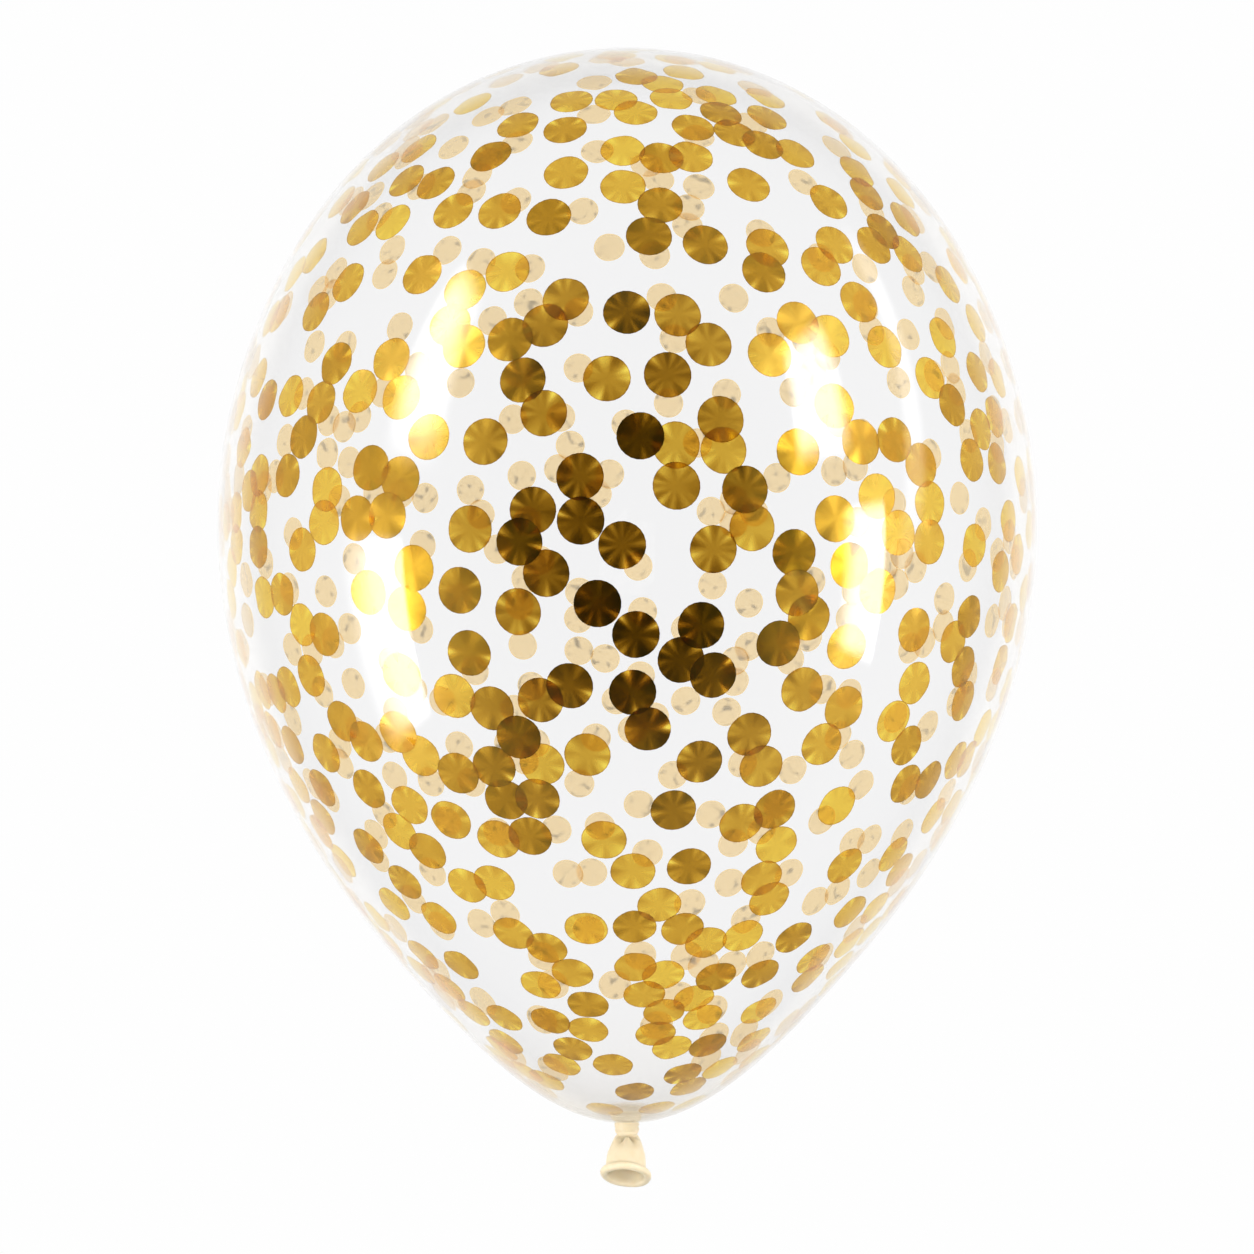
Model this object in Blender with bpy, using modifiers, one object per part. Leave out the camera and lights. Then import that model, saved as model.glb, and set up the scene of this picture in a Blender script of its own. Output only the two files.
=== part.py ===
"""Tied latex party balloon, pear shaped, lying on its side on a small flat spot.

The balloon's axis lies level along Y: the crown points to +Y, the knot and the
tail to -Y. The origin is the middle of the flat spot, under the widest ring.
"""
import math

import bmesh
import bpy
from mathutils import Matrix, Vector

# Blown-up skin, in metres
BELLY_RADIUS = 0.148
CROWN_RISE = 0.171
TAPER_LENGTH = 0.2175
REST_SPOT_WIDTH = 0.042

# Knot and tail: latex that stays unstretched, in metres
NECK_RADIUS = 0.0043
KNOT_LENGTH = 0.0068
KNOT_BULGE = 0.0007
WAIST_RADIUS = 0.0030
SKIRT_LENGTH = 0.0152
SKIRT_RADIUS = 0.0072
LIP_RADIUS = 0.0094
LIP_ROLL_RADIUS = 0.0014
LATEX_WALL = 0.0005
PLEAT_DEPTH = 0.0007
TAIL_LEAN_UP = math.radians(41)
TAIL_LEAN_SIDE = math.radians(1.5)

# Free form of the skin, as shares of its own radius and lengths
CROWN_FLATNESS_SHARE = 0.676
CROWN_FULLNESS_SHARE = 0.432
BELLY_FULLNESS_SHARE = 0.366
SHOULDER_DROP_SHARE = 0.7356
SHOULDER_WIDTH_SHARE = 0.548
SHOULDER_ANGLE = math.radians(40)
SHOULDER_REACH_UP_SHARE = 0.199
SHOULDER_REACH_DOWN_SHARE = 0.273
BASE_FLATNESS_SHARE = 0.192

# Free form of the tail, as shares of the skirt's length
SKIRT_FLARE_SHARE = 0.42
CUP_DEPTH_SHARE = 0.76
PLEAT_END_SHARE = 0.7
PLEATS = 8

# Fineness of the round forms
SKIN_SEGMENTS = 60
SKIN_STEPS = 14
TAIL_SEGMENTS = 48
TAIL_STEPS = 7
MERGE = 0.00001

CREAM = (0.90, 0.84, 0.70, 1.0)


def clear_file():
    for old in list(bpy.data.objects):
        bpy.data.objects.remove(old, do_unlink=True)


def make_collection(name):
    collection = bpy.data.collections.new(name)
    bpy.context.scene.collection.children.link(collection)
    return collection


def latex_material():
    """Clear, glossy latex film: see-through, with a faint cream tint."""
    material = bpy.data.materials.new("clear_latex")
    material.use_nodes = True
    shader = material.node_tree.nodes["Principled BSDF"]
    shader.inputs["Base Color"].default_value = CREAM
    shader.inputs["Roughness"].default_value = 0.06
    shader.inputs["Metallic"].default_value = 0.0
    shader.inputs["IOR"].default_value = 1.52
    shader.inputs["Transmission Weight"].default_value = 0.9
    return material


def bezier(start, start_handle, end_handle, end, steps):
    """Points along one curved stretch, without its first point."""
    start, start_handle, end_handle, end = map(Vector, (start, start_handle, end_handle, end))
    points = []
    for step in range(1, steps + 1):
        t = step / steps
        s = 1 - t
        points.append(s**3 * start + 3 * s * s * t * start_handle
                      + 3 * s * t * t * end_handle + t**3 * end)
    return points


def skin_profile():
    """Radius and height of the skin and its knot, from the crown down to the waist."""
    shoulder = Vector((SHOULDER_WIDTH_SHARE * BELLY_RADIUS, -SHOULDER_DROP_SHARE * TAPER_LENGTH))
    slope = BELLY_RADIUS * Vector((math.sin(SHOULDER_ANGLE), math.cos(SHOULDER_ANGLE)))
    crown = (0, CROWN_RISE)
    belly = (BELLY_RADIUS, 0)
    base = (NECK_RADIUS, -TAPER_LENGTH)

    points = [Vector(crown)]
    points += bezier(crown, (CROWN_FLATNESS_SHARE * BELLY_RADIUS, CROWN_RISE),
                     (BELLY_RADIUS, CROWN_FULLNESS_SHARE * CROWN_RISE), belly, SKIN_STEPS)
    points += bezier(belly, (BELLY_RADIUS, -BELLY_FULLNESS_SHARE * TAPER_LENGTH),
                     shoulder + SHOULDER_REACH_UP_SHARE * slope, shoulder, SKIN_STEPS)
    points += bezier(shoulder, shoulder - SHOULDER_REACH_DOWN_SHARE * slope,
                     (BASE_FLATNESS_SHARE * BELLY_RADIUS, -TAPER_LENGTH), base, SKIN_STEPS)

    for step in range(1, TAIL_STEPS + 1):
        t = step / TAIL_STEPS
        radius = NECK_RADIUS + (WAIST_RADIUS - NECK_RADIUS) * t
        radius += KNOT_BULGE * math.sin(math.pi * t)
        points.append(Vector((radius, -TAPER_LENGTH - KNOT_LENGTH * t)))
    points.append(Vector((0, -TAPER_LENGTH - KNOT_LENGTH)))
    return points


def skirt_outline(wall):
    """Radius and depth down one side of the skirt; a wall above 0 gives its inner side."""
    waist = (WAIST_RADIUS - wall, 0)
    rim = (SKIRT_RADIUS - wall, -SKIRT_LENGTH + LIP_ROLL_RADIUS)
    flare = SKIRT_FLARE_SHARE * SKIRT_LENGTH
    return [Vector(waist)] + bezier(waist, (SKIRT_RADIUS - wall, -flare / 2),
                                    (SKIRT_RADIUS - wall, -flare * 2), rim, TAIL_STEPS)


def tail_profile():
    """The skirt from its buried top, down the outside, round the lip and up the inside."""
    points = [Vector((0, KNOT_LENGTH / 2)), Vector((WAIST_RADIUS / 2, KNOT_LENGTH / 2))]
    points += skirt_outline(0)

    roll = Vector((LIP_RADIUS - LIP_ROLL_RADIUS, -SKIRT_LENGTH))
    for step in range(1, 2 * TAIL_STEPS):
        turn = math.radians(115 - 245 * step / (2 * TAIL_STEPS))
        points.append(roll + LIP_ROLL_RADIUS * Vector((math.cos(turn), math.sin(turn))))

    cup_top = -SKIRT_LENGTH * (1 - CUP_DEPTH_SHARE)
    inside = [point for point in reversed(skirt_outline(LATEX_WALL)) if point.y < cup_top]
    points += inside
    points.append(Vector((inside[-1].x / 2, cup_top)))
    points.append(Vector((0, cup_top)))
    return points


def turn_solid(name, profile, segments, collection, material):
    """A closed solid turned about Z from a profile that runs down its outer side."""
    mesh = bpy.data.meshes.new(name)
    edges = [(index, index + 1) for index in range(len(profile) - 1)]
    mesh.from_pydata([(point.x, 0, point.y) for point in profile], edges, [])
    mesh.materials.append(material)
    solid = bpy.data.objects.new(name, mesh)
    collection.objects.link(solid)

    turn = solid.modifiers.new("Turn", "SCREW")
    turn.axis = "Z"
    turn.steps = segments
    turn.render_steps = segments
    turn.use_merge_vertices = True
    turn.merge_threshold = MERGE
    return solid


def bake_mesh(solid):
    """Give the object its evaluated mesh, so that its points can be moved one by one."""
    depsgraph = bpy.context.evaluated_depsgraph_get()
    baked = bpy.data.meshes.new_from_object(solid.evaluated_get(depsgraph))
    solid.modifiers.clear()
    solid.data = baked


def gather_pleats(skirt):
    """Draw the skirt's wall in and out below the waist; the folds die out down the skirt."""
    form = bmesh.new()
    form.from_mesh(skirt.data)
    for vert in form.verts:
        depth = -vert.co.z / SKIRT_LENGTH
        radius = math.hypot(vert.co.x, vert.co.y)
        if radius < MERGE or not 0 < depth < PLEAT_END_SHARE:
            continue
        strength = math.sin(math.pi * depth / PLEAT_END_SHARE) * PLEAT_DEPTH
        turn = math.atan2(vert.co.y, vert.co.x) + math.pi / 2
        grown = (radius + strength * math.cos(PLEATS * turn)) / radius
        vert.co.x *= grown
        vert.co.y *= grown
    form.to_mesh(skirt.data)
    form.free()


def hide_helper(helper):
    helper.hide_render = True
    helper.display_type = "WIRE"


def combine(solid, operation, helper):
    step = solid.modifiers.new(helper.name, "BOOLEAN")
    step.operation = operation
    step.solver = "EXACT"
    step.object = helper


def build_balloon():
    parts = make_collection("confetti_balloon")
    helpers = make_collection("cutters")
    material = latex_material()

    rest_depth = BELLY_RADIUS - math.sqrt(BELLY_RADIUS**2 - (REST_SPOT_WIDTH / 2) ** 2)
    lie_down = Matrix.Translation((0, 0, BELLY_RADIUS - rest_depth)) @ Matrix.Rotation(-math.pi / 2, 4, "X")

    balloon = turn_solid("latex_balloon", skin_profile(), SKIN_SEGMENTS, parts, material)
    balloon.matrix_world = lie_down

    tail = turn_solid("tail_skirt", tail_profile(), TAIL_SEGMENTS, helpers, material)
    bpy.context.view_layer.update()
    bake_mesh(tail)
    gather_pleats(tail)
    lean = Matrix.Rotation(TAIL_LEAN_SIDE, 4, "Y") @ Matrix.Rotation(-TAIL_LEAN_UP, 4, "X")
    waist = Matrix.Translation((0, 0, -TAPER_LENGTH - KNOT_LENGTH))
    tail.matrix_world = lie_down @ waist @ lean
    hide_helper(tail)

    bpy.ops.mesh.primitive_cube_add(size=1)
    floor_cut = bpy.context.object
    floor_cut.name = "rest_spot_cut"
    for collection in list(floor_cut.users_collection):
        collection.objects.unlink(floor_cut)
    helpers.objects.link(floor_cut)
    floor_cut.scale = (2 * BELLY_RADIUS, 2 * BELLY_RADIUS, BELLY_RADIUS)
    floor_cut.location.z = -BELLY_RADIUS / 2
    hide_helper(floor_cut)

    combine(balloon, "UNION", tail)
    combine(balloon, "DIFFERENCE", floor_cut)
    return balloon


clear_file()
balloon = build_balloon()
bpy.context.view_layer.update()
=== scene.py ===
import math
import random

import bmesh
import bpy
from mathutils import Matrix, Vector, noise
from mathutils.bvhtree import BVHTree
from mathutils.geometry import interpolate_bezier


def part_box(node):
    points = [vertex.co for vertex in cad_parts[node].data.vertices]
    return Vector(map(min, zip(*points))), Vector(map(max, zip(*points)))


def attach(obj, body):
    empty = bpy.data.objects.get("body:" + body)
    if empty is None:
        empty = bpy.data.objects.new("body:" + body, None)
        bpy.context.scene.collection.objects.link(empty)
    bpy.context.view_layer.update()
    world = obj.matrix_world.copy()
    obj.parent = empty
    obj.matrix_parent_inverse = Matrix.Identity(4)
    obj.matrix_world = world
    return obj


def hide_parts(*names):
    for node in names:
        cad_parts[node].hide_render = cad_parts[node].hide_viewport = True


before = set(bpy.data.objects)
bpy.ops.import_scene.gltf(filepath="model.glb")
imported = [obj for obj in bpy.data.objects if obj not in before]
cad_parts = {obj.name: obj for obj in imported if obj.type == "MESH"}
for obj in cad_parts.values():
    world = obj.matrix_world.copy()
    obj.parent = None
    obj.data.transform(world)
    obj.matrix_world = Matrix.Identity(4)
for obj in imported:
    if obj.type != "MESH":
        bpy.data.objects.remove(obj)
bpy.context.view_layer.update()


# The latex balloon. One dip-moulded piece of natural latex: the blown-up part is a clear, glossy
# film, and the neck stays thick and cream. The neck is wound round itself into a knot, and
# below it hangs the pleated tail with the mould's rolled lip.

low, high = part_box("latex_balloon")
BELLY_RADIUS = (high[0] - low[0]) / 2
CROWN_RISE = high[1]
AXIS_HEIGHT = high[2] - BELLY_RADIUS
TAPER_LENGTH = 0.2175
SHOULDER = Vector((0.0811, -0.1600))
SHOULDER_ANGLE = math.radians(40)
SHOULDER_REACH_UP = 0.0295
SHOULDER_REACH_DOWN = 0.0404
CROWN_FLATNESS = 0.1000
CROWN_FULLNESS = 0.0739
BELLY_FULLNESS = 0.0797
BASE_FLATNESS = 0.0284
FILM_WALL = 0.00006
NECK_WALL = 0.00050
SWELL = 0.00020
SWELL_WAVE = 0.07

NECK_RADIUS = 0.0043
KNOT_LENGTH = 0.0068
KNOT_RADIUS = 0.0046
KNOT_RISE = 0.25
KNOT_ROUNDING = 0.35
KNOT_LUMPS = 0.00012
CREASES = ((0.0008, 0.4), (0.0046, 2.6))
CREASE_DEPTH = 0.00055
CREASE_WIDTH = 0.00035
CREASE_WAVER = 0.00030
WAIST_RADIUS = 0.0034
SKIRT_LENGTH = 0.0152
SKIRT_RADIUS = 0.0074
SKIRT_FLARE = 0.0058
LIP_RADIUS = 0.0094
LIP_ROLL_RADIUS = 0.0014
LIP_ROLL_START = math.radians(125)
LIP_ROLL_SWEEP = math.radians(290)
LIP_WAVE = 0.00016
LIP_TILT = 0.07
LATEX_WALL = 0.0004
CUP_DEPTH = 0.0125
PLEATS = 7
PLEAT_DEPTH = 0.0011
PLEAT_LENGTH = 0.0075
PLEAT_WAVER = 0.25
PLEAT_SHARPNESS = 3
FOLD_DEPTH = 0.0014
FOLD_LENGTH = 0.0060
FOLD_WIDTH = 0.09
FOLD_MIDDLE = 0.05
FOLD_START = 0.12
FOLD_SPREAD = 0.38
TAIL_LEAN_UP = math.radians(41)
TAIL_LEAN_SIDE = math.radians(1.5)
BEND_LENGTH = 0.0035

BALLOON_SEGMENTS = 144
FILM_STEPS = 34
TAIL_STEPS = 16
MERGE = 0.000001

WAIST_Y = -TAPER_LENGTH - KNOT_LENGTH
THICKENS_FROM = -0.70 * TAPER_LENGTH


def curve(start, start_handle, end_handle, end, steps):
    """Radius and place along the axis of one curved stretch, without its first point."""
    flat = [Vector((*point, 0)) for point in (start, start_handle, end_handle, end)]
    return [point.to_2d() for point in interpolate_bezier(*flat, steps + 1)[1:]]


def film_profile():
    """Half the outline of the blown-up part: crown, belly, shoulder and neck."""
    slope = Vector((math.sin(SHOULDER_ANGLE), math.cos(SHOULDER_ANGLE)))
    crown = (0, CROWN_RISE)
    belly = (BELLY_RADIUS, 0)
    points = [Vector(crown)]
    points += curve(crown, (CROWN_FLATNESS, CROWN_RISE), (BELLY_RADIUS, CROWN_FULLNESS), belly, FILM_STEPS)
    points += curve(belly, (BELLY_RADIUS, -BELLY_FULLNESS), SHOULDER + SHOULDER_REACH_UP * slope,
                    SHOULDER, FILM_STEPS)
    points += curve(SHOULDER, SHOULDER - SHOULDER_REACH_DOWN * slope, (BASE_FLATNESS, -TAPER_LENGTH),
                    (NECK_RADIUS, -TAPER_LENGTH), FILM_STEPS)
    return points


def skirt_side(wall):
    """One side of the skirt, from the waist to the lip; a wall above 0 gives the inner side."""
    waist = (WAIST_RADIUS - wall, WAIST_Y)
    rim = (SKIRT_RADIUS - wall, WAIST_Y - SKIRT_LENGTH + LIP_ROLL_RADIUS)
    return [Vector(waist)] + curve(waist, (SKIRT_RADIUS - wall, WAIST_Y - SKIRT_FLARE / 2),
                                   (SKIRT_RADIUS - wall, WAIST_Y - SKIRT_FLARE * 2), rim, 2 * TAIL_STEPS)


def tail_profile():
    """Knot, skirt, lip and the inside of the skirt, down to the pinched end of its cup."""
    points = []
    for step in range(1, TAIL_STEPS):
        t = step / TAIL_STEPS
        rounded = max(t - 1 + KNOT_ROUNDING, 0) / KNOT_ROUNDING
        top = NECK_RADIUS + (KNOT_RADIUS - NECK_RADIUS) * min(t / KNOT_RISE, 1)
        radius = WAIST_RADIUS + (top - WAIST_RADIUS) * math.sqrt(1 - rounded**2)
        points.append(Vector((radius, -TAPER_LENGTH - KNOT_LENGTH * t)))
    points += skirt_side(0)
    roll = Vector((LIP_RADIUS - LIP_ROLL_RADIUS, WAIST_Y - SKIRT_LENGTH))
    for step in range(1, 2 * TAIL_STEPS):
        turn = LIP_ROLL_START - LIP_ROLL_SWEEP * step / (2 * TAIL_STEPS)
        points.append(roll + LIP_ROLL_RADIUS * Vector((math.cos(turn), math.sin(turn))))
    cup_top = WAIST_Y - SKIRT_LENGTH + CUP_DEPTH
    inside = [point for point in reversed(skirt_side(LATEX_WALL)) if point.y < cup_top]
    points += inside
    points.append(Vector((inside[-1].x / 2, cup_top)))
    points.append(Vector((0, cup_top + LATEX_WALL)))
    return points


def neck_share(along):
    """0 on the stretched film, rising to 1 where the latex is unstretched at the neck."""
    share = (THICKENS_FROM - along) / (THICKENS_FROM + TAPER_LENGTH)
    return min(max(share, 0), 1) ** 3


def cavity_profile(outer):
    """The film's inner face: the outer profile moved in by the wall, and closed at the neck."""
    points = [outer[0] - Vector((0, FILM_WALL))]
    for before, point, after in zip(outer, outer[1:], outer[2:]):
        along = (after - before).normalized()
        wall = FILM_WALL + (NECK_WALL - FILM_WALL) * neck_share(point.y)
        points.append(point + wall * Vector((along.y, -along.x)))
    points.append(Vector((0, points[-1].y)))
    return points


def spun(profile):
    """A closed form spun about the balloon's level axis."""
    form = bmesh.new()
    verts = [form.verts.new((0, point.y, point.x)) for point in profile]
    edges = [form.edges.new(pair) for pair in zip(verts, verts[1:])]
    bmesh.ops.spin(form, geom=verts + edges, cent=(0, 0, 0), axis=(0, 1, 0), dvec=(0, 0, 0),
                   angle=math.tau, space=Matrix.Identity(4), steps=BALLOON_SEGMENTS,
                   use_merge=True, use_normal_flip=False, use_duplicate=False)
    bmesh.ops.remove_doubles(form, verts=form.verts, dist=MERGE)
    bmesh.ops.recalc_face_normals(form, faces=form.faces)
    return form


def swell(vert):
    """Let the stretched film bulge a little unevenly, which makes its reflections waver."""
    uneven = noise.noise(vert.co / SWELL_WAVE) * (1 - neck_share(vert.co.y))
    vert.co += vert.co.normalized() * SWELL * (uneven - 1)


def knot_relief(depth, turn):
    """Creases where the neck is wound round itself, and shallow lumps between them."""
    relief = KNOT_LUMPS * math.sin(3 * turn + 1.1) * math.sin(math.pi * depth / KNOT_LENGTH)
    for place, phase in CREASES:
        waver = math.sin(turn + phase) + math.sin(2 * turn + 3 * phase) / 2
        off = depth - place - CREASE_WAVER * waver
        relief -= CREASE_DEPTH * math.exp(-(off / CREASE_WIDTH) ** 2)
    return relief


def pleat_depth(below, turn):
    """Depth of the gathered pleats: uneven grooves that start at the waist and die out."""
    if not 0 < below < PLEAT_LENGTH:
        return 0
    fade = math.sin(math.pi * (below / PLEAT_LENGTH) ** 0.55)
    groove = abs(math.sin(PLEATS * turn / 2 + PLEAT_WAVER * math.sin(3 * turn))) ** PLEAT_SHARPNESS
    uneven = 1 + 0.35 * math.sin(2 * turn + 1.4) + 0.25 * math.cos(turn)
    return PLEAT_DEPTH * fade * uneven * groove


def fold_depth(below, turn):
    """Depth of two deep folds on top, which part from each other down the skirt."""
    if not 0 < below < FOLD_LENGTH:
        return 0
    down = below / FOLD_LENGTH
    off = abs(turn - FOLD_MIDDLE) - FOLD_START - FOLD_SPREAD * down
    return FOLD_DEPTH * math.exp(-(off / FOLD_WIDTH) ** 2) * math.sin(math.pi * down ** 0.8)


def gather_tail(vert):
    """Crease the knot, gather the skirt in pleats and folds, and set the lip askew."""
    radius = math.hypot(vert.co.x, vert.co.z)
    if radius < MERGE:
        return
    turn = math.atan2(vert.co.x, vert.co.z)
    depth = -TAPER_LENGTH - vert.co.y
    below = depth - KNOT_LENGTH
    grown = radius
    if below < 0:
        grown += knot_relief(depth, turn)
    elif radius > WAIST_RADIUS / 2:
        grown -= pleat_depth(below, turn) + fold_depth(below, turn)
    lip = min(max(below / PLEAT_LENGTH - 0.5, 0), 1)
    grown += LIP_WAVE * lip * (math.sin(3 * turn + 0.6) + 0.6 * math.sin(5 * turn + 2.0))
    vert.co.y -= LIP_TILT * lip * vert.co.x
    vert.co.x *= grown / radius
    vert.co.z *= grown / radius


def bend_tail(vert):
    """Bend what hangs below the waist up and a little to one side."""
    below = WAIST_Y - vert.co.y
    if below <= 0:
        return
    bent = min(below / BEND_LENGTH, 1)
    lean = TAIL_LEAN_UP * bent
    arc = BEND_LENGTH / TAIL_LEAN_UP
    straight = max(below - BEND_LENGTH, 0)
    centre = Vector((0, -arc * math.sin(lean) - straight * math.cos(lean),
                     arc * (1 - math.cos(lean)) + straight * math.sin(lean)))
    across = Matrix.Rotation(-lean, 3, "X") @ Vector((vert.co.x, 0, vert.co.z))
    sideways = Matrix.Rotation(-TAIL_LEAN_SIDE * bent, 3, "Z")
    vert.co = Vector((0, WAIST_Y, 0)) + sideways @ (centre + across)


skin_line = film_profile()
balloon_form = spun(skin_line + tail_profile())
cavity_form = spun(cavity_profile(skin_line))
bmesh.ops.reverse_faces(cavity_form, faces=cavity_form.faces)
for face in cavity_form.faces:
    face.material_index = 1
for vert in balloon_form.verts:
    if vert.co.y < -TAPER_LENGTH - MERGE:
        gather_tail(vert)
        bend_tail(vert)
    else:
        swell(vert)
for vert in cavity_form.verts:
    swell(vert)

for form, floor_gap in ((balloon_form, 0), (cavity_form, FILM_WALL)):
    bmesh.ops.translate(form, verts=form.verts, vec=(0, 0, AXIS_HEIGHT))
    for vert in form.verts:
        vert.co.z = max(vert.co.z, floor_gap)

cavity_mesh = bpy.data.meshes.new("cavity")
cavity_form.to_mesh(cavity_mesh)
balloon_form.from_mesh(cavity_mesh)
bpy.data.meshes.remove(cavity_mesh)
for face in balloon_form.faces:
    face.smooth = True

balloon_mesh = bpy.data.meshes.new("balloon_skin")
balloon_form.to_mesh(balloon_mesh)
balloon_form.free()
balloon_skin = bpy.data.objects.new("balloon_skin", balloon_mesh)
bpy.context.scene.collection.objects.link(balloon_skin)


class Wire:
    """An output of a node tree that takes part in sums as a number does."""

    def __init__(self, tree, socket=None):
        self.tree = tree
        self.socket = socket

    def node(self, kind, settings, sockets, output=0):
        """Add a node: its settings first, then a value or a wire for each socket."""
        made = self.tree.nodes.new(kind)
        for name, value in settings.items():
            setattr(made, name, value)
        for name, value in sockets.items():
            if isinstance(value, Wire):
                self.tree.links.new(value.socket, made.inputs[name])
            else:
                made.inputs[name].default_value = value
        return Wire(self.tree, made.outputs[output])

    def maths(self, operation, *values):
        return self.node("ShaderNodeMath", {"operation": operation}, dict(enumerate(values)))

    def between(self, start, end):
        """0 before start, 1 after end, and a soft step from one to the other."""
        return self.node("ShaderNodeMapRange", {"interpolation_type": "SMOOTHSTEP"},
                         {"Value": self, "From Min": start, "From Max": end})

    def tint(self, first, second):
        """The first colour where this is 0, the second where it is 1."""
        return self.node("ShaderNodeMix", {"data_type": "RGBA"}, {0: self, 6: first, 7: second}, output=2)

    def blend(self, first, second):
        """The first shader where this is 0, the second where it is 1."""
        return self.node("ShaderNodeMixShader", {}, {0: self, 1: first, 2: second})

    def show(self, kind="ShaderNodeOutputMaterial"):
        """Make this shader the one that the tree shows."""
        output = self.tree.nodes.new(kind)
        self.tree.links.new(self.socket, output.inputs["Surface"])

    def __add__(self, other):
        return self.maths("ADD", self, other)

    def __sub__(self, other):
        return self.maths("SUBTRACT", self, other)

    def __rsub__(self, other):
        return self.maths("SUBTRACT", other, self)

    def __mul__(self, other):
        return self.maths("MULTIPLY", self, other)

    def __truediv__(self, other):
        return self.maths("DIVIDE", self, other)

    def __rtruediv__(self, other):
        return self.maths("DIVIDE", other, self)

    def __pow__(self, other):
        return self.maths("POWER", self, other)

    def __rpow__(self, other):
        return self.maths("POWER", other, self)

    __radd__ = __add__
    __rmul__ = __mul__


CLEAR = (1, 1, 1, 1)
FILM_TINT = (0.972, 0.972, 0.974, 1)
THIN_MILK = (0.85, 0.85, 0.85, 1)
THICK_MILK = (0.92, 0.84, 0.70, 1)
DEEP_CREAM = (0.90, 0.73, 0.46, 1)
PALE_CREAM = (0.95, 0.84, 0.63, 1)
EVEN_HAZE = 0.0005
NECK_HAZE = 0.04
EDGE_HAZE = 0.10
GLOSS = 0.05
MILKY_FROM = 0.72 * TAPER_LENGTH
CREAM_EDGE = (TAPER_LENGTH - 0.0016, TAPER_LENGTH - 0.0002)


def new_finish(name):
    """An empty material, and the wire that adds nodes to it."""
    finish = bpy.data.materials.new(name)
    finish.use_nodes = True
    finish.node_tree.nodes.clear()
    return finish, Wire(finish.node_tree)


def latex(name, clear_colour, shines):
    """Clear film that turns milky towards the neck, and solid cream at the knot and the tail."""
    finish, wire = new_finish(name)
    place = wire.node("ShaderNodeTexCoord", {}, {}, output="Object")
    along = wire.node("ShaderNodeSeparateXYZ", {}, {"Vector": place}, output="Y")
    facing = wire.node("ShaderNodeLayerWeight", {}, {"Blend": 0.5}, output="Facing")
    milky = (-1 * along).between(MILKY_FROM, TAPER_LENGTH) ** 2
    haze = EVEN_HAZE + NECK_HAZE * milky + EDGE_HAZE * facing.between(0.45, 1.0)
    cover = 1 - math.e ** (-1 * haze / (1.08 - facing))
    clear = wire.node("ShaderNodeBsdfTransparent", {}, {"Color": clear_colour})
    milk = wire.node("ShaderNodeBsdfPrincipled", {}, {
        "Base Color": milky.tint(THIN_MILK, THICK_MILK), "Roughness": 0.9, "Specular IOR Level": 0.0})
    film = cover.blend(clear, milk)
    if shines:
        leaving = wire.node("ShaderNodeNewGeometry", {}, {}, output="Backfacing")
        gloss = (GLOSS + (1 - GLOSS) * facing ** 5) * (1 - leaving)
        shine = wire.node("ShaderNodeBsdfGlossy", {}, {"Color": CLEAR, "Roughness": 0.03})
        film = gloss.blend(film, shine)

    solid = (-1 * along).between(*CREAM_EDGE)
    mottle = wire.node("ShaderNodeTexNoise", {}, {"Vector": place, "Scale": 420.0, "Detail": 4.0})
    fine = wire.node("ShaderNodeTexNoise", {}, {"Vector": place, "Scale": 2600.0, "Detail": 2.0})
    relief = wire.node("ShaderNodeBump", {}, {
        "Strength": 0.15, "Distance": 0.0002, "Height": mottle + 0.4 * fine})
    cream = wire.node("ShaderNodeBsdfPrincipled", {}, {
        "Base Color": mottle.tint(DEEP_CREAM, PALE_CREAM), "Roughness": 0.38, "Normal": relief,
        "Subsurface Weight": 0.3, "Subsurface Scale": 0.0004, "Subsurface Radius": (1.0, 0.9, 0.8)})
    solid.blend(film, cream).show()
    return finish


balloon_mesh.materials.append(latex("clear_latex", FILM_TINT, True))
balloon_mesh.materials.append(latex("inner_latex", CLEAR, False))
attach(balloon_skin, "root")
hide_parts("latex_balloon")


# The confetti. Loose discs punched from thin dyed foil, gold on one side and pale on the other.
# They cling to the inside of the skin by static, gold side out, singly and in small clusters
# that overlap, and their cut rims are rippled by the punch.

DISC_RADIUS = 0.0068
DISC_THICKNESS = 0.00004
DISC_SIDES = 24
DISC_GAP = 0.00044
DISC_LAYER = 0.00045
RIPPLE = 0.00020
RIPPLE_WAVES = (2, 3, 4, 5)
DISCS = 750
TOUCHING_SHARE = 0.33
CLOSEST = 1.25 * DISC_RADIUS
CROWDED = 1.95 * DISC_RADIUS
CLEAR_OF = 2.05 * DISC_RADIUS
CANDIDATES = 9
DENSITY_BELOW = 0.48
CROWN_THINNING = 0.35
LAST_DISC_Y = -0.955 * TAPER_LENGTH
SEED = 7

wall_tree = BVHTree.FromBMesh(cavity_form)
cavity_form.free()
chance = random.Random(SEED)


def wall_areas():
    """Running total of the wall's area, ring by ring, from the crown down."""
    total = 0
    areas = []
    for upper, lower in zip(skin_line, skin_line[1:]):
        if lower.y > LAST_DISC_Y:
            total += (upper.x + lower.x) / 2 * (upper - lower).length
        areas.append(total)
    return areas


def density(turn, along):
    """Share of discs by place: 1 on top, and fewer on the underside and towards the crown."""
    round_axis = DENSITY_BELOW + (1 - DENSITY_BELOW) * ((1 + math.cos(turn)) / 2) ** 1.5
    return round_axis * (1 - CROWN_THINNING * max(along / CROWN_RISE, 0))


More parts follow.
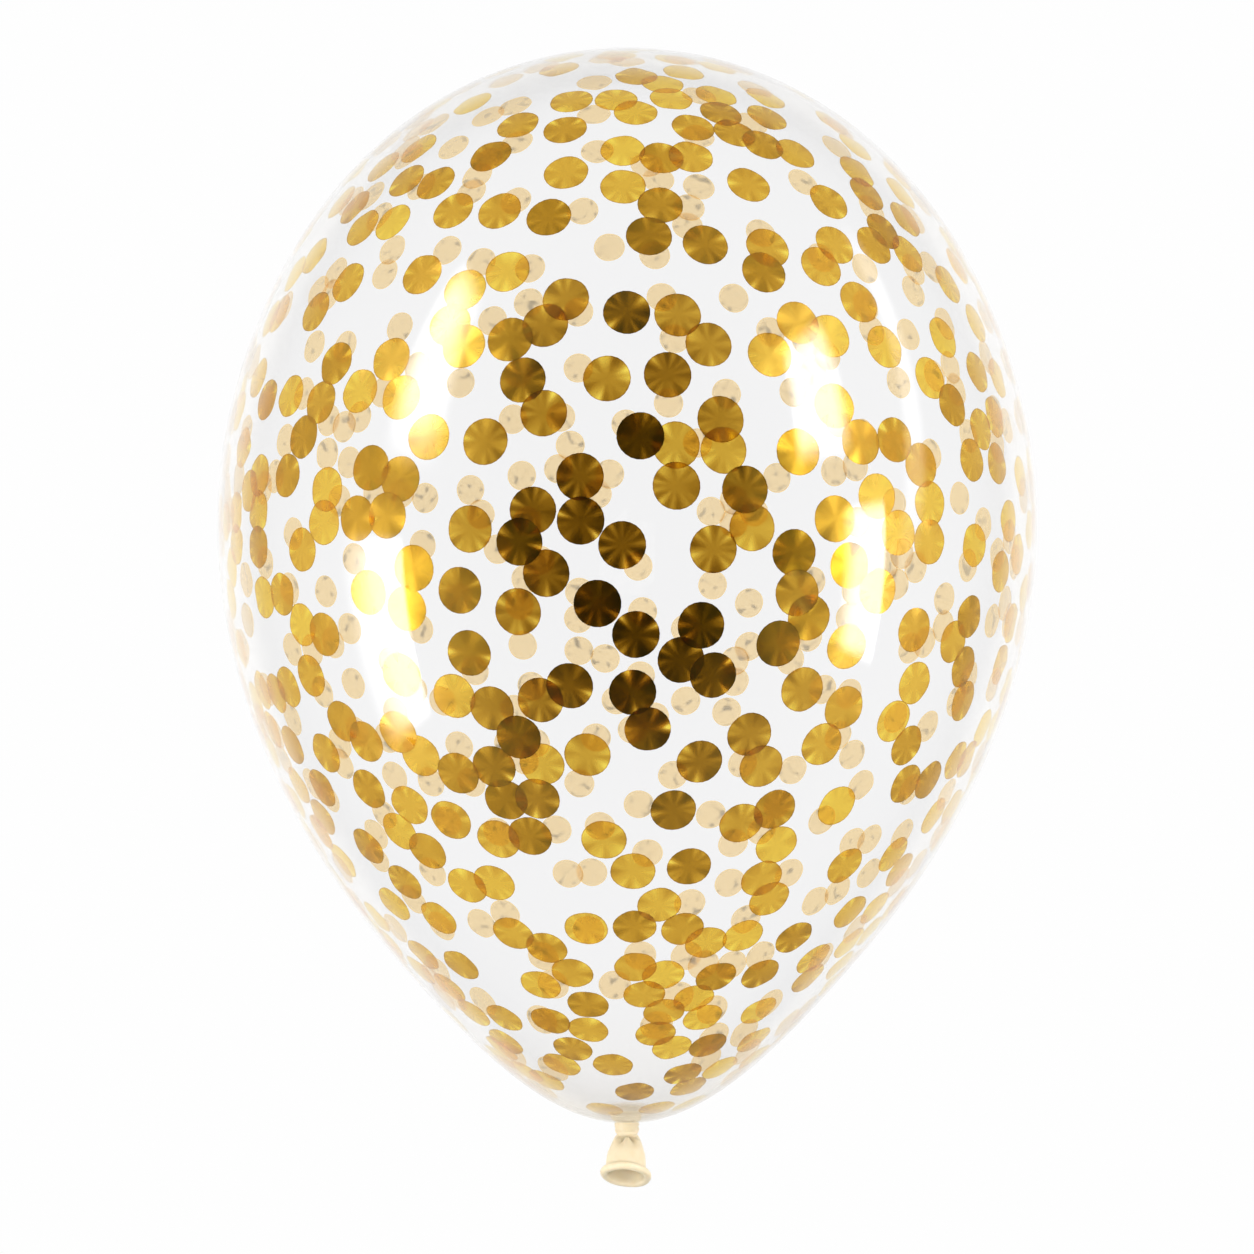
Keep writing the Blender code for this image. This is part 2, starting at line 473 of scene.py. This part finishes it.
def spot_on_wall(areas):
    """A place on the wall, even by area apart from the density, and its spacing where that is 1."""
    while True:
        pick = chance.random() * areas[-1]
        ring = next(index for index, area in enumerate(areas) if area >= pick)
        point = skin_line[ring].lerp(skin_line[ring + 1], chance.random())
        turn = chance.random() * math.tau
        share = density(turn, point.y)
        if chance.random() < share:
            spot = Vector((point.x * math.sin(turn), point.y, AXIS_HEIGHT + point.x * math.cos(turn)))
            return spot, math.sqrt(share)


def on_wall(point):
    """The nearest place on the skin's inner face, and the way into the balloon from there."""
    spot, inward, _, _ = wall_tree.find_nearest(point)
    return spot, inward


def gaps(discs, spot):
    """Distances from a spot to the middles of all discs, the nearest first."""
    return sorted((spot - other).length for other, _ in discs)


def emptiest_spot(discs, areas):
    """The best of a few chance places: the one with the most room round it for its density."""
    tries = [spot_on_wall(areas) for _ in range(CANDIDATES)]
    return max(tries, key=lambda made: gaps(discs, made[0])[0] * made[1])[0]


def beside(disc):
    """A place where a disc touches or overlaps another one."""
    spot, inward = disc
    heading = inward.orthogonal().normalized()
    heading.rotate(Matrix.Rotation(chance.random() * math.tau, 3, inward))
    return spot + heading * DISC_RADIUS * chance.uniform(1.35, 2.1)


def scatter_discs():
    """Centres and inward normals of the discs: some in open places, some against another disc."""
    areas = wall_areas()
    discs = [on_wall(spot_on_wall(areas)[0])]
    while len(discs) < DISCS:
        touching = chance.random() < TOUCHING_SHARE
        spot, inward = on_wall(beside(chance.choice(discs)) if touching else emptiest_spot(discs, areas))
        room = gaps(discs, spot)
        crowded = len(room) > 2 and room[2] < CROWDED
        if spot.y > LAST_DISC_Y and room[0] > CLOSEST and not crowded:
            discs.append((spot, inward))
    return discs


def layers_of(discs):
    """The layer that each disc lies in, so that discs that overlap never touch."""
    layers = []
    for index, (spot, _) in enumerate(discs):
        taken = {layers[other] for other in range(index)
                 if (spot - discs[other][0]).length < CLEAR_OF}
        layers.append(next(layer for layer in range(len(taken) + 1) if layer not in taken))
    return layers


def ripple_of_disc():
    """Height of a disc's wavy rim by the angle round it: a few waves of unlike length."""
    waves = [(count, chance.uniform(0, math.tau), chance.uniform(0.1, 0.6)) for count in RIPPLE_WAVES]
    return lambda turn: RIPPLE * sum(size * math.sin(count * turn + phase) for count, phase, size in waves)


def add_disc(form, spot, inward, layer, uv_map, tone):
    """Two round caps with one rim, laid along the wall: side 0 faces out, side 1 faces in."""
    ripple = ripple_of_disc()
    spin = Matrix.Rotation(chance.random() * math.tau, 3, inward)
    across = spin @ inward.orthogonal().normalized()
    up = inward.cross(across)
    shade = chance.random()
    for side in (0, 1):
        verts = bmesh.ops.create_circle(form, cap_ends=True, cap_tris=True, segments=DISC_SIDES,
                                        radius=DISC_RADIUS)["verts"]
        for face in {face for vert in verts for face in vert.link_faces}:
            face.material_index = side
            face.smooth = True
            face[tone] = shade
            for loop in face.loops:
                loop[uv_map].uv = loop.vert.co.xy / DISC_RADIUS
            if side == 0:
                face.normal_flip()
        for vert in verts:
            reach = vert.co.length / DISC_RADIUS
            turn = math.atan2(vert.co.y, vert.co.x)
            lift = DISC_GAP + layer * DISC_LAYER + ripple(turn) * reach
            if reach < 0.5:
                lift += DISC_THICKNESS * side
            wall_spot, wall_inward = on_wall(spot + vert.co.x * across + vert.co.y * up)
            vert.co = wall_spot + lift * wall_inward


confetti_form = bmesh.new()
uv_map = confetti_form.loops.layers.uv.new("disc")
tone = confetti_form.faces.layers.float.new("tone")
discs = scatter_discs()
for (spot, inward), layer in zip(discs, layers_of(discs)):
    add_disc(confetti_form, spot, inward, layer, uv_map, tone)
bmesh.ops.remove_doubles(confetti_form, verts=confetti_form.verts, dist=MERGE)
for edge in confetti_form.edges:
    edge.smooth = len({face.material_index for face in edge.link_faces}) == 1

confetti_mesh = bpy.data.meshes.new("gold_confetti")
confetti_form.to_mesh(confetti_mesh)
confetti_form.free()
gold_confetti = bpy.data.objects.new("gold_confetti", confetti_mesh)
bpy.context.scene.collection.objects.link(gold_confetti)

DARK_GOLD = (0.46, 0.26, 0.004, 1)
BRIGHT_GOLD = (0.66, 0.45, 0.07, 1)
# Painted shade for the thin outline along each disc's rim.
RIM_SHADE_GOLD = (0.34, 0.20, 0.01, 1)
PALE_BACK = (0.88, 0.75, 0.53, 1)
WORN_BACK = (0.40, 0.36, 0.29, 1)
AMBER = (1.0, 0.38, 0.0, 1)
HONEY = (1.0, 0.78, 0.11, 1)
STRAW = (1.0, 0.79, 0.46, 1)


def disc_wires(wire):
    """A place on the disc, its distance from the middle, 1 at the rim, and a random shade per disc."""
    place = wire.node("ShaderNodeUVMap", {"uv_map": "disc"}, {})
    radius = wire.node("ShaderNodeVectorMath", {"operation": "LENGTH"}, {0: place}, output="Value")
    shade = wire.node("ShaderNodeAttribute", {"attribute_name": "tone"}, {}, output="Fac")
    return place, radius, shade


def shifted(wire, place, shade):
    """Take each disc's patch of a pattern from a place of its own."""
    shift = wire.node("ShaderNodeCombineXYZ", {}, {"Z": shade * 40})
    return wire.node("ShaderNodeVectorMath", {"operation": "ADD"}, {0: place, 1: shift})


def painted_light_rays(wire, place, radius, shade):
    """Soft rays that fan out to the rim, a painted reflection of light off the punched ripples: above 0
    where the disc lets more light through.
    """
    round_way = wire.node("ShaderNodeVectorMath", {"operation": "NORMALIZE"}, {0: place})
    ray_noise = wire.node("ShaderNodeTexNoise", {}, {
        "Vector": shifted(wire, round_way, shade), "Scale": 2.2, "Detail": 0.0})
    return (ray_noise - 0.5) * radius.between(0.1, 1.0)


def foil_side(wire, passing, foil, thick, thin):
    """See-through dyed foil. Light that has come in through the other side leaves unchanged."""
    leaving = wire.node("ShaderNodeNewGeometry", {}, {}, output="Backfacing")
    deep = wire.node("ShaderNodeBsdfTransparent", {}, {"Color": thick})
    light = wire.node("ShaderNodeBsdfTransparent", {}, {"Color": thin})
    gone = wire.node("ShaderNodeBsdfTransparent", {}, {"Color": CLEAR})
    leaving.blend(passing.blend(foil, (passing ** 1.2).blend(deep, light)), gone).show()


def gold_finish():
    """The outer side of a disc: dyed mirror foil. It is darkest where it is seen square on, partly from
    its real mirror of the dark ceiling and partly from painted shade.
    """
    finish, wire = new_finish("gold_foil")
    place, radius, shade = disc_wires(wire)
    painted_rays = painted_light_rays(wire, place, radius, shade)
    # Painted shade: a thin outline along the rim, darker and less see-through.
    rim = radius.between(0.94, 0.98)
    facing = wire.node("ShaderNodeLayerWeight", {}, {"Blend": 0.5}, output="Facing")
    foil = wire.node("ShaderNodeBsdfPrincipled", {}, {
        "Base Color": rim.tint(shade.tint(DARK_GOLD, BRIGHT_GOLD), RIM_SHADE_GOLD), "Roughness": 0.28,
        "Metallic": 1 - 0.55 * facing.between(0.06, 0.36)})
    # Painted shade: less light passes where the disc is seen square on than where it is slanted, so it
    # looks darker there; seen near edge-on it passes most light.
    square_on = 0.05 + 0.60 * shade ** 1.7
    slanted = 0.28 + 0.50 * shade
    passing = square_on + (slanted - square_on) * facing.between(0.01, 0.34)
    # Painted reflection: the rays let more light through the foil, in place of light glinting off its
    # ripples.
    passing = passing ** (1 - 3.2 * painted_rays)
    passing += (0.9 - passing) * facing.between(0.5, 0.9)
    foil_side(wire, passing * (1 - 0.35 * rim), foil, AMBER, HONEY)
    return finish


def pale_finish():
    """The inner side of a disc: bare pale foil, thinner towards the rim and worn in places."""
    finish, wire = new_finish("pale_foil")
    place, radius, shade = disc_wires(wire)
    feather = radius.between(0.82, 1.02)
    specks = wire.node("ShaderNodeTexNoise", {}, {
        "Vector": shifted(wire, place, shade), "Scale": 1.9, "Detail": 0.0})
    worn = specks.between(0.56, 0.82)
    foil = wire.node("ShaderNodeBsdfPrincipled", {}, {
        "Base Color": worn.tint(PALE_BACK, WORN_BACK), "Roughness": 0.5})
    facing = wire.node("ShaderNodeLayerWeight", {}, {"Blend": 0.5}, output="Facing")
    passing = 0.47 - 0.35 * worn + 0.06 * shade + 0.25 * facing.between(0.1, 0.6)
    passing += (1 - passing) * 0.8 * feather
    foil_side(wire, passing, foil, STRAW, STRAW)
    return finish


confetti_mesh.materials.append(gold_finish())
confetti_mesh.materials.append(pale_finish())
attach(gold_confetti, "root")


# The studio. A wide pale floor that glows softly, a pale backdrop and a dark ceiling behind the
# camera. On each side of the balloon stand diffused lights, which its film reflects, and a lamp
# overhead lights the cream tail and shows in no reflection.

CAMERA_DISTANCE = 4 * BELLY_RADIUS
CAMERA_ALONG = -0.0357
LENS = 45.67
FLOOR_SIZE = 30
FLOOR_GLOW = 0.992
WHITE = (1, 1, 1, 1)
LAMP_SIZE = 0.5
LAMP_PLACE = (0, -0.10, 0.92)
LAMP_TILT = math.radians(10)
LAMP_RADIANCE = 5
LIGHT_SIDE = 0.9

scene = bpy.context.scene
camera = bpy.data.objects.new("camera", bpy.data.cameras.new("camera"))
camera.data.lens = LENS
camera.data.clip_start = 0.01
camera.location = (0, CAMERA_ALONG, AXIS_HEIGHT + CAMERA_DISTANCE)
scene.collection.objects.link(camera)
scene.camera = camera
scene.view_settings.view_transform = "Standard"
scene.cycles.max_bounces = 3
scene.cycles.diffuse_bounces = 1
scene.cycles.glossy_bounces = 2
scene.cycles.transparent_max_bounces = 32
scene.cycles.caustics_reflective = False
scene.cycles.caustics_refractive = False
scene.cycles.use_light_tree = False

floor_form = bmesh.new()
bmesh.ops.create_grid(floor_form, x_segments=1, y_segments=1, size=FLOOR_SIZE / 2)
floor_mesh = bpy.data.meshes.new("floor")
floor_form.to_mesh(floor_mesh)
floor_form.free()
floor = bpy.data.objects.new("floor", floor_mesh)
scene.collection.objects.link(floor)
floor.visible_glossy = False
floor_finish, floor_wire = new_finish("pale_floor")
floor_wire.node("ShaderNodeEmission", {}, {"Color": WHITE, "Strength": FLOOR_GLOW}).show()
floor_mesh.materials.append(floor_finish)

sky = bpy.data.worlds.new("studio_sky")
sky.use_nodes = True
sky.node_tree.nodes.clear()
sky_wire = Wire(sky.node_tree)
direction = sky_wire.node("ShaderNodeTexCoord", {}, {}, output="Generated")
sideways = sky_wire.node("ShaderNodeSeparateXYZ", {}, {"Vector": direction}, output="X") ** 2
upward = sky_wire.node("ShaderNodeSeparateXYZ", {}, {"Vector": direction}, output="Z")
walls = (0.14 + 0.16 * sideways) * (1 - upward.between(0.45, 0.95))
level = walls + 0.84 * (-1 * upward).between(0.42, 0.70)
backdrop = sky_wire.node("ShaderNodeLightPath", {}, {}, output="Is Camera Ray")
strength = level + backdrop * (1 - level)
glow = sky_wire.node("ShaderNodeBackground", {}, {"Color": WHITE, "Strength": strength})
glow.show("ShaderNodeOutputWorld")
sky.cycles.sampling_method = "NONE"
scene.world = sky

fill = bpy.data.lights.new("tail_fill", "AREA")
fill.size = LAMP_SIZE
fill.energy = LAMP_RADIANCE * math.pi * LAMP_SIZE ** 2
fill_lamp = bpy.data.objects.new("tail_fill", fill)
fill_lamp.location = LAMP_PLACE
fill_lamp.rotation_euler = (LAMP_TILT, 0, 0)
fill_lamp.visible_camera = False
fill_lamp.visible_glossy = False
scene.collection.objects.link(fill_lamp)


def softbox(name, hand, along, height, length, width, slope, radiance, fades):
    """A diffused light, upright beside the balloon: hand is -1 on the left and 1 on the right.

    The fades are the shares of it that soften at both ends, at the lower and at the upper edge.
    """
    light = bpy.data.lights.new(name, "AREA")
    light.shape = "RECTANGLE"
    light.size = length
    light.size_y = width
    light.energy = radiance * math.pi * length * width
    light.use_nodes = True
    light.node_tree.nodes.clear()
    wire = Wire(light.node_tree)
    place = wire.node("ShaderNodeNewGeometry", {}, {}, output="Parametric")
    across = wire.node("ShaderNodeSeparateXYZ", {}, {"Vector": place}, output="X")
    up = wire.node("ShaderNodeSeparateXYZ", {}, {"Vector": place}, output="Y")
    ends, lower, upper = fades
    soft_ends = across.between(0, ends) * (1 - across).between(0, ends)
    soft_edges = up.between(0, lower) * (1 - up).between(0, upper)
    diffused = wire.node("ShaderNodeEmission", {}, {"Strength": soft_ends * soft_edges})
    diffused.show("ShaderNodeOutputLight")

    lamp = bpy.data.objects.new(name, light)
    long_way = hand * Vector((0, math.cos(slope), math.sin(slope)))
    away = Vector((hand, 0, 0))
    turn = Matrix((long_way, away.cross(long_way), away)).transposed()
    lamp.matrix_world = Matrix.LocRotScale(Vector((hand * LIGHT_SIDE, along, height)), turn, None)
    lamp.visible_camera = False
    scene.collection.objects.link(lamp)


softbox("left_window", -1, 0.70, 0.84, 1.05, 0.44, math.radians(5), 12, (0.3, 0.3, 0.6))
softbox("left_strip", -1, -0.33, 0.55, 0.66, 0.38, math.radians(4.5), 12, (0.15, 0.65, 0.08))
softbox("right_window", 1, 0.54, 0.93, 0.64, 0.48, math.radians(-3), 12, (0.25, 0.25, 0.25))
softbox("right_strip", 1, -0.165, 0.68, 0.50, 0.28, math.radians(5), 12, (0.12, 0.08, 0.45))
softbox("right_glow", 1, 0.45, 0.31, 1.35, 0.16, math.radians(-14), 2.4, (0.3, 0.4, 0.4))
